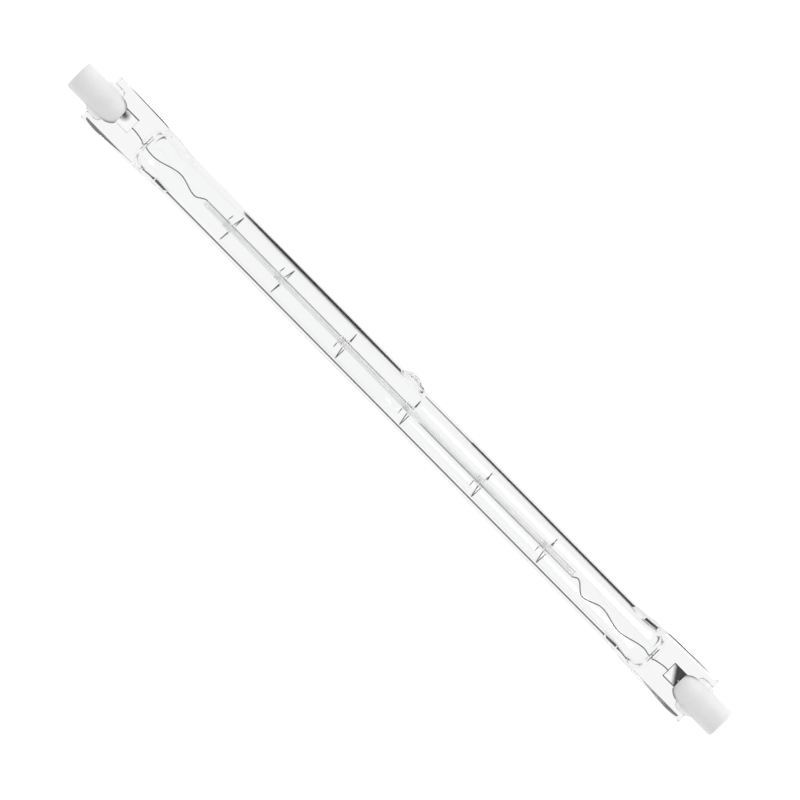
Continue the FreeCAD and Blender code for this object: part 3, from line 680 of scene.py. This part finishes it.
# Filament
filament = {
    "wire": 0.12, "coilMean": 0.585, "coilStart": -57.1, "coilEnd": 51.0, "turns": 237.5, "turnPoints": 20,
    "axisDrift": [(-58.0, 0.03), (-20.0, 0.0), (-5.0, -0.03), (14.0, -0.1), (30.0, -0.06), (51.5, 0.08)],
    "leftWaves": [(-79.2, 0.04), (-78.3, 0.04), (-71.5, -1.0), (-64.8, 0.46), (-59.75, -0.62),
                  (-57.0, 0.6)],
    "rightWaves": [(50.9, -0.5), (52.2, 0.12), (55.5, -1.88), (60.2, -0.56), (65.85, -1.57), (72.25, -0.29),
                   (73.7, -0.56), (78.4, 0.08), (79.4, 0.08)],
    "legStep": 0.12, "legDrop": -0.16, "dropRange": (60.0, 70.0), "jointReach": 5, "sides": 8,
}


def filamentPiece():
    # legs that wave in the plane of the seals, and between them one helix about the drifting axis
    f = filament
    angle = np.linspace(0, 2 * np.pi * f["turns"], int(f["turns"] * f["turnPoints"]))
    x = f["coilStart"] + (f["coilEnd"] - f["coilStart"]) * angle / angle[-1]
    y = waveThrough(f["axisDrift"], x) + f["coilMean"] * np.cos(angle)
    coil = np.stack([x, y, f["coilMean"] * np.sin(angle)], axis=-1)
    radial = np.stack([0 * angle, np.cos(angle), np.sin(angle)], axis=-1)
    legs = []
    for waves in (f["leftWaves"], f["rightWaves"]):
        x = np.arange(waves[0][0], waves[-1][0], f["legStep"])
        drop = f["legDrop"] * softStep(np.abs(x), *f["dropRange"])
        legs.append(np.stack([x, waveThrough(waves, x), drop], axis=-1))
    path = np.concatenate([legs[0], coil, legs[1]])
    sideways = np.array([[0.0, 1, 0]])
    leftSide = np.repeat(sideways, len(legs[0]), 0)
    rightSide = np.repeat(-sideways, len(legs[1]), 0)
    reference = np.concatenate([leftSide, radial, rightSide])
    order = np.arange(len(path))
    joints = np.array([len(legs[0]), len(path) - len(legs[1])])
    near = np.exp(-(np.abs(order[:, None] - joints[None]).min(1) / f["jointReach"]) ** 2)[:, None]
    kernel = np.ones(f["jointReach"]) / f["jointReach"]
    padded = np.pad(path, ((f["jointReach"] // 2,) * 2, (0, 0)), mode="edge")
    eased = np.stack([np.convolve(padded[:, axis], kernel, mode="valid") for axis in range(3)], axis=-1)
    path = path * (1 - near) + eased * near
    wire = sweptWire(path, reference, f["wire"], f["sides"])
    return makePiece("filament_coil", [wire], tungsten, "filament", sharpAngle=60.0)


coilPiece = filamentPiece()
print("filament made:", len(coilPiece.data.polygons), "faces")

# Spiral supports
support = {
    "wire": 0.1, "gripMean": 0.83, "gripTurns": 2.25, "gripPitch": 0.6, "ringMean": 3.05,
    "spiralTurns": 0.5, "spiralPitch": 0.55, "ringTurns": 0.78, "ringPitch": 0.3, "ringLean": 0.1,
    "ringKink": 0.4,
    "ringSkew": 0.5, "ringPush": 0.3, "reach": 2.1, "lean": 0.25, "setBack": 2.475,
    "turnPoints": 56, "sides": 10, "stubPoints": 18,
    "freeSides": [1, 1, -1, -1, -1, -1], "ringDrop": [0.05, 0.25, 0.1, 0.3, 0.2, 0.35],
}


def supportPiece(number):
    # a free end that comes in square to the lamp, tight turns on the coil, then a spiral out to a leaning,
    # not quite full ring
    s = support
    name = f"filament_support_{number}"
    high = span(name)[1]
    side = s["freeSides"][number - 1]
    turns = np.cumsum([0, s["gripTurns"], s["spiralTurns"], s["ringTurns"]])
    turn = np.linspace(0, turns[-1], int(turns[-1] * s["turnPoints"]))
    spread = softStep(turn, turns[1], turns[2])
    radius = s["gripMean"] + (s["ringMean"] - s["gripMean"]) * spread
    advance = np.cumsum([0, s["gripTurns"] * s["gripPitch"], s["spiralTurns"] * s["spiralPitch"],
                         s["ringTurns"] * s["ringPitch"]])
    angle = np.pi / 2 + 2 * np.pi * turn
    z = radius * np.sin(angle)
    start = high[0] - s["setBack"]
    straightness = s["ringMean"] - radius * np.abs(np.cos(angle))
    lean = s["ringLean"] * straightness * spread * z / np.hypot(z, s["ringKink"])
    swing = spread * (1 + np.cos(angle)) / 2
    x = start + np.interp(turn, turns, advance) + lean + s["ringSkew"] * swing
    axis = waveThrough(filament["axisDrift"], np.array([start]))[0]
    y = side * (radius * np.cos(angle) + s["ringPush"] * swing) + axis - s["ringDrop"][number - 1] * spread
    coil = np.stack([x, y, z], axis=-1)
    radial = np.stack([0 * angle, side * np.cos(angle), np.sin(angle)], axis=-1)
    out = np.linspace(1, 0, s["stubPoints"], endpoint=False)[:, None]
    stub = coil[:1] + out * np.array([[s["lean"], side * s["reach"], 0.0]])
    path = np.concatenate([stub, coil])
    reference = np.concatenate([np.repeat([[0.0, 0, 1]], len(stub), 0), radial])
    wire = sweptWire(path, reference, s["wire"], s["sides"])
    return makePiece(name + "_spiral", [wire], supportTungsten, name, sharpAngle=60.0)


for number in range(1, 7):
    supportPiece(number)
print("supports made")

# Foils in the seals
foil = {
    "rows": 60, "columns": 30, "swell": 0.022, "crease": 0.012, "creaseWaves": (5.0, 0.4, 0.7),
    "left": {"slope": 0.15, "spot": (0.78, 0.25), "spotSize": (0.16, 0.7), "fade": (9.0, 9.5)},
    "right": {"slope": 0.15, "spot": (2.0, 0.0), "spotSize": (0.1, 0.1), "fade": (-0.7, 0.5)},
}


def foilPiece(end):
    # a thin sheet, feathered to its long edges; across it the slope fades out past a line, or in one spot
    # near the cap, so that those places mirror what is straight above; one off the sheet does nothing
    low, high = span(f"foil_{end}")
    shape = foil[end]
    x = np.linspace(low[0], high[0], foil["rows"])[:, None]
    turn = (np.arange(2 * foil["columns"]) / foil["columns"] * np.pi)[None]
    half = (high[1] - low[1]) / 2
    y = half * np.cos(turn)
    outward = (np.abs(x) - np.abs([low[0], high[0]]).min()) / (high[0] - low[0])
    away = ((outward - shape["spot"][0]) / shape["spotSize"][0]) ** 2
    away = away + ((y - shape["spot"][1]) / shape["spotSize"][1]) ** 2
    bend = shape["fade"][1] - shape["fade"][0]
    held = np.minimum(y, shape["fade"][0]) + bend * softStep(y, *shape["fade"]) / 2
    z = shape["slope"] * held * (1 - np.exp(-away))
    along, shift, across = foil["creaseWaves"]
    crease = foil["crease"] * np.sin(along * outward + shift) * np.cos(across * y)
    z = z + crease + foil["swell"] * np.sin(turn)
    points = np.stack(np.broadcast_arrays(x, y + (low[1] + high[1]) / 2, z), axis=-1).reshape(-1, 3)
    shells = [(points, turned(points, tubeFaces(foil["rows"], 2 * foil["columns"])))]
    return makePiece(
        f"foil_{end}_sheet", shells, foilMetal, f"foil_{end}", sharpAngle=50.0)


# Outer leads
lead = {"sides": 16, "points": 40}


def leadPiece(end):
    # a round wire, straight along X, at the height of its node
    low, high = span(f"outer_lead_{end}")
    radius = (high[1] - low[1]) / 2
    x = np.linspace(low[0], high[0], lead["points"])
    path = np.stack([x, 0 * x, np.full_like(x, low[2] + radius)], axis=-1)
    reference = np.repeat([[0.0, 0, 1]], len(path), 0)
    wire = sweptWire(path, reference, radius, lead["sides"])
    name = f"outer_lead_{end}"
    return makePiece(name + "_wire", [wire], leadWire, name, sharpAngle=60.0)


# Ceramic caps
cap = {
    "noseFlat": 2.35, "slotHalf": 1.4, "slotRoot": 84.8, "recess": 2.0, "recessDepth": 1.7,
    "leadHole": 0.35, "rim": 0.5, "rimBend": (0.32, 0.42), "lip": (0.3, 0.1), "lipDepth": 0.12,
    "bodySteps": (3.0, 2.0),
    "arcColumns": 40, "sideColumns": 14, "noseRows": 26, "noseSpacing": 1.6,
}


def capShell(end):
    # a round body turned about X; in front of the slot's root its section is two round segments, above and
    # below, which shrink as a ball does
    c = cap
    side = -1 if end == "left" else 1
    low, high = span(f"cap_{end}")
    radius = high[2]
    nose, tail = sorted([abs(low[0]), abs(high[0])])
    centre = nose + np.sqrt(radius ** 2 - c["noseFlat"] ** 2)
    swing = np.linspace(0, 1, c["noseRows"])
    x = nose + (c["slotRoot"] - nose) * swing ** c["noseSpacing"]
    ball = np.sqrt(radius ** 2 - np.clip(centre - x, 0, None) ** 2)[:, None]
    lean = np.arcsin(np.clip(c["slotHalf"] / ball, 0, 1))
    sweep = lean + (np.pi - 2 * lean) * np.linspace(0, 1, c["arcColumns"] + 1)
    station = np.broadcast_to(x[:, None], sweep.shape)
    cheek = np.stack([station, ball * np.cos(sweep), ball * np.sin(sweep)], axis=-1)
    rim, recess, depth = c["rim"], c["recess"], c["recessDepth"]
    profile = np.array([
        (c["slotRoot"], radius), (c["slotRoot"] + c["bodySteps"][0], radius),
        (tail - rim - c["bodySteps"][1], radius), (tail - rim, radius),
        (tail - rim * c["rimBend"][0], radius - rim * c["rimBend"][1]), (tail, radius - rim),
        (tail, recess + c["lip"][0]), (tail, recess + c["lip"][1]), (tail - c["lipDepth"], recess),
        (tail - depth, recess), (tail - depth, c["leadHole"])])
    rootLean = np.arcsin(c["slotHalf"] / radius)
    upper = np.linspace(rootLean, np.pi - rootLean, c["arcColumns"] + 1)[:-1]
    left = np.linspace(np.pi - rootLean, np.pi + rootLean, c["sideColumns"] + 1)[:-1]
    angle = np.concatenate([upper, left, upper + np.pi, left + np.pi])
    columns = len(angle)
    bodyX = np.broadcast_to(profile[:, :1], (len(profile), columns))
    body = np.stack([bodyX, profile[:, 1:] * np.cos(angle), profile[:, 1:] * np.sin(angle)], axis=-1)
    points = [body.reshape(-1, 3)]
    arcs, sides = c["arcColumns"], c["sideColumns"]
    leftSide = np.arange(arcs, arcs + sides + 1)
    rightSide = (2 * arcs + sides + np.arange(sides + 1)) % columns
    wall = np.concatenate([leftSide, rightSide])[None]
    bottom = (len(profile) - 1) * columns + np.arange(columns)[None]
    faces = [gridQuads(len(profile), columns), bottom, wall]
    count = len(points[0])
    for flip, begin in ((1, 0), (-1, arcs + sides)):
        grid = cheek[:-1] * np.array([1, flip, flip])
        rootRow = (begin + np.arange(arcs + 1)) % columns
        index = count + np.arange(grid.shape[0] * grid.shape[1]).reshape(grid.shape[:2])
        count += index.size
        points.append(grid.reshape(-1, 3))
        table = np.concatenate([index, rootRow[None]])
        under = np.concatenate([table[:, 0], table[::-1, -1]])[None]
        faces += [tableQuads(table), under[:, ::-1], index[:1, ::-1]]
    return np.concatenate(points) * np.array([side, 1, 1]), faces


def capPiece(end):
    points, faces = capShell(end)
    shells = [(points, turned(points, faces))]
    return makePiece(f"cap_{end}_ceramic", shells, capCeramic, f"cap_{end}", sharpAngle=35.0)


# Contacts
contact = {"edge": 0.15, "edgeRows": 7, "dish": 0.08, "dishShare": 0.75, "dishRows": 8, "columns": 64}


def contactPiece(end):
    # a turned button with a rounded edge and a shallow dish pressed in its face
    c = contact
    side = -1 if end == "left" else 1
    low, high = span(f"contact_{end}")
    radius = (high[1] - low[1]) / 2
    back, face = sorted([abs(low[0]), abs(high[0])])
    bend = np.linspace(0, np.pi / 2, c["edgeRows"])
    edgeX = face - c["edge"] * (1 - np.sin(bend))
    edgeR = radius - c["edge"] * (1 - np.cos(bend))
    dishWide = radius * c["dishShare"]
    dishR = np.linspace(dishWide, 0, c["dishRows"])
    dishX = face - c["dish"] * (1 - (dishR / dishWide) ** 2)
    edge = np.stack([edgeX, edgeR], axis=-1)
    dish = np.stack([dishX, dishR], axis=-1)
    profile = np.concatenate([[[back, 0], [back, radius]], edge, dish])
    points, faces = revolvedShell(profile, c["columns"])
    points = points * np.array([side, 1, 1])
    shells = [(points, turned(points, faces))]
    name = f"contact_{end}"
    return makePiece(name + "_button", shells, contactMetal, name, sharpAngle=40.0)


for end in ("left", "right"):
    foilPiece(end)
    leadPiece(end)
    capPiece(end)
    contactPiece(end)
    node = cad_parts[f"cement_{end}"]
    node.data.materials.clear()
    node.data.materials.append(capCement)
print("ends made")

# Floor, light and camera
stage = {
    "floorSize": 6.0, "floorTone": 0.9, "floorRoughness": 0.9, "floorGlow": 0.7,
    "sky": [(0.0, 0.93), (0.45, 0.93), (0.55, 1.0), (0.97, 1.0), (0.988, 0.96)],
    "keyPlace": (0.25, 0.9, 0.7), "keySize": 0.5, "keyPower": 4.0,
    "pixels": 800, "pixelsPerMetre": 4841.0, "lens": 500.0, "sensor": 36.0,
    "along": (0.7029, 0.7113), "aimShift": (0.2, -0.8), "bounces": 40, "glassBounces": 32,
}
cards = {
    "depth": 0.10, "black": (0.0, 0.0, 0.0), "grey": (0.1, 0.1, 0.1),
    # each flag: its name, its side in Y, where it starts and ends along X, its angles from straight down at
    # its start and at its end, its tone, and whether it is seen through the glass or mirrored in it
    "edges": [
        ("tip_left", 1, (-0.053, -0.042), (34.0, 55.0), (26.0, 56.0), "black", "through"),
        ("tip_left_broad", 1, (-0.042, -0.018), (26.0, 56.0), (26.0, 56.0), "black", "through"),
        ("tip_left_near", 1, (-0.018, -0.0038), (26.0, 56.0), (34.0, 55.0), "black", "through"),
        ("tip_left_shine", 1, (-0.053, -0.0038), (46.0, 82.0), (46.0, 82.0), "black", "mirrored"),
        ("tip_near", 1, (0.0035, 0.018), (42.0, 52.0), (38.0, 54.0), "grey", "through"),
        ("tip_right", 1, (0.018, 0.066), (34.0, 54.0), (30.0, 55.0), "black", "through"),
        ("shoulder_right", 1, (0.066, 0.0745), (30.0, 55.0), (27.0, 58.0), "black", "through"),
        ("tip_right_shine", 1, (0.018, 0.0735), (46.0, 82.0), (46.0, 82.0), "black", "mirrored"),
        ("far", -1, (-0.067, 0.067), (42.0, 55.0), (42.0, 55.0), "black", "through"),
        ("far_left", -1, (-0.0735, -0.067), (36.0, 60.0), (42.0, 55.0), "black", "through"),
        ("far_right", -1, (0.067, 0.0735), (42.0, 55.0), (36.0, 60.0), "black", "through"),
        ("lower_left", 1, (-0.092, -0.0805), (2.0, 43.0), (14.0, 17.0), "grey", "through"),
        ("lower_left_thin", 1, (-0.0805, -0.0765), (14.0, 17.0), (14.0, 17.0), "grey", "through"),
        ("lower_right", 1, (0.0805, 0.092), (14.0, 17.0), (2.0, 43.0), "grey", "through"),
        ("lower_right_thin", 1, (0.0765, 0.0805), (14.0, 17.0), (14.0, 17.0), "grey", "through"),
        ("upper_left", -1, (-0.092, -0.076), (36.0, 80.0), (36.0, 80.0), "black", "through"),
        ("upper_right", -1, (0.076, 0.092), (36.0, 80.0), (36.0, 80.0), "black", "through"),
    ],
}


def plainSurface(name, corners):
    mesh = bpy.data.meshes.new(name)
    mesh.from_pydata(corners, [], [(0, 1, 2, 3)])
    sheet = bpy.data.objects.new(name, mesh)
    bpy.context.scene.collection.objects.link(sheet)
    return sheet


def makeFloor():
    half = stage["floorSize"] / 2
    level = cadBox[0][2]
    plan = ((-half, -half), (half, -half), (half, half), (-half, half))
    floor = plainSurface("floor", [(x, y, level) for x, y in plan])
    material = bpy.data.materials.new("floor_white")
    material.use_nodes = True
    surface = material.node_tree.nodes["Principled BSDF"]
    surface.inputs["Base Color"].default_value = (*[stage["floorTone"]] * 3, 1)
    surface.inputs["Roughness"].default_value = stage["floorRoughness"]
    surface.inputs["Emission Color"].default_value = (1, 1, 1, 1)
    surface.inputs["Emission Strength"].default_value = stage["floorGlow"]
    floor.data.materials.append(material)
    floor.visible_transmission = False
    floor.visible_glossy = False


def makeCard(name, sign, along, startAngles, endAngles, tone, use):
    # a dark flag under the lamp, seen only through the glass or only mirrored in it: it darkens the edge
    # whose rays bend that way
    level = cadBox[0][2] - cards["depth"]
    start = sign * cards["depth"] * np.tan(np.radians(startAngles))
    end = sign * cards["depth"] * np.tan(np.radians(endAngles))
    corners = [(along[0], start[0], level), (along[1], end[0], level), (along[1], end[1], level),
               (along[0], start[1], level)]
    sheet = plainSurface("flag_" + name, corners)
    material = bpy.data.materials.new("flag_" + name)
    material.use_nodes = True
    surface = material.node_tree.nodes["Principled BSDF"]
    surface.inputs["Base Color"].default_value = (*cards[tone], 1)
    surface.inputs["Specular IOR Level"].default_value = 0
    sheet.data.materials.append(material)
    sheet.visible_camera = False
    sheet.visible_diffuse = False
    sheet.visible_shadow = False
    sheet.visible_transmission = use == "through"
    sheet.visible_glossy = use == "mirrored"


def makeWorld():
    # white all round, a little dimmer below the lamp and straight overhead
    world = bpy.data.worlds.new("studio")
    bpy.context.scene.world = world
    world.use_nodes = True
    tree = world.node_tree
    back = tree.nodes["Background"]
    place = addNode(tree, "ShaderNodeTexCoord")
    parts = addNode(tree, "ShaderNodeSeparateXYZ")
    ramp = addNode(tree, "ShaderNodeValToRGB")
    lift = addNode(tree, "ShaderNodeMapRange", {"From Min": -1.0, "From Max": 1.0})
    stops = stage["sky"]
    elements = ramp.color_ramp.elements
    elements[0].position = stops[0][0]
    elements[1].position = stops[-1][0]
    for position, value in stops[1:-1]:
        elements.new(position)
    for element, (position, value) in zip(elements, stops):
        element.color = (value, value, value, 1)
    tree.links.new(place.outputs["Generated"], parts.inputs["Vector"])
    tree.links.new(parts.outputs["Z"], lift.inputs["Value"])
    tree.links.new(lift.outputs["Result"], ramp.inputs["Fac"])
    tree.links.new(ramp.outputs["Color"], back.inputs["Color"])


def makeLamp(name, place, size, power):
    light = bpy.data.lights.new(name, "AREA")
    light.shape = "DISK"
    light.size = size
    light.energy = power
    lamp = bpy.data.objects.new(name, light)
    lamp.location = place
    lamp.rotation_euler = Vector(place).to_track_quat("Z", "Y").to_euler()
    bpy.context.scene.collection.objects.link(lamp)


def makeCamera():
    # looks straight down, turned so that the lamp lies across the picture as in the photo
    c, s = stage["along"]
    right, up = Vector((c, s, 0)), Vector((-s, c, 0))
    field = stage["pixels"] / stage["pixelsPerMetre"]
    distance = field * stage["lens"] / stage["sensor"]
    aim = (right * stage["aimShift"][0] + up * stage["aimShift"][1]) / stage["pixelsPerMetre"]
    data = bpy.data.cameras.new("camera")
    data.lens = stage["lens"]
    data.sensor_width = stage["sensor"]
    data.sensor_fit = "HORIZONTAL"
    camera = bpy.data.objects.new("camera", data)
    turn = Matrix((right, up, Vector((0, 0, 1)))).transposed().to_4x4()
    camera.matrix_world = Matrix.Translation(aim + Vector((0, 0, distance))) @ turn
    bpy.context.scene.collection.objects.link(camera)
    bpy.context.scene.camera = camera


makeFloor()
for card in cards["edges"]:
    makeCard(*card)
makeWorld()
makeLamp("key", stage["keyPlace"], stage["keySize"], stage["keyPower"])
makeCamera()
bpy.context.scene.view_settings.view_transform = "Standard"
paths = bpy.context.scene.cycles  # light runs on inside the seals through many reflections
paths.max_bounces = stage["bounces"]
paths.glossy_bounces = stage["glassBounces"]
paths.transmission_bounces = stage["glassBounces"]
print("stage set")
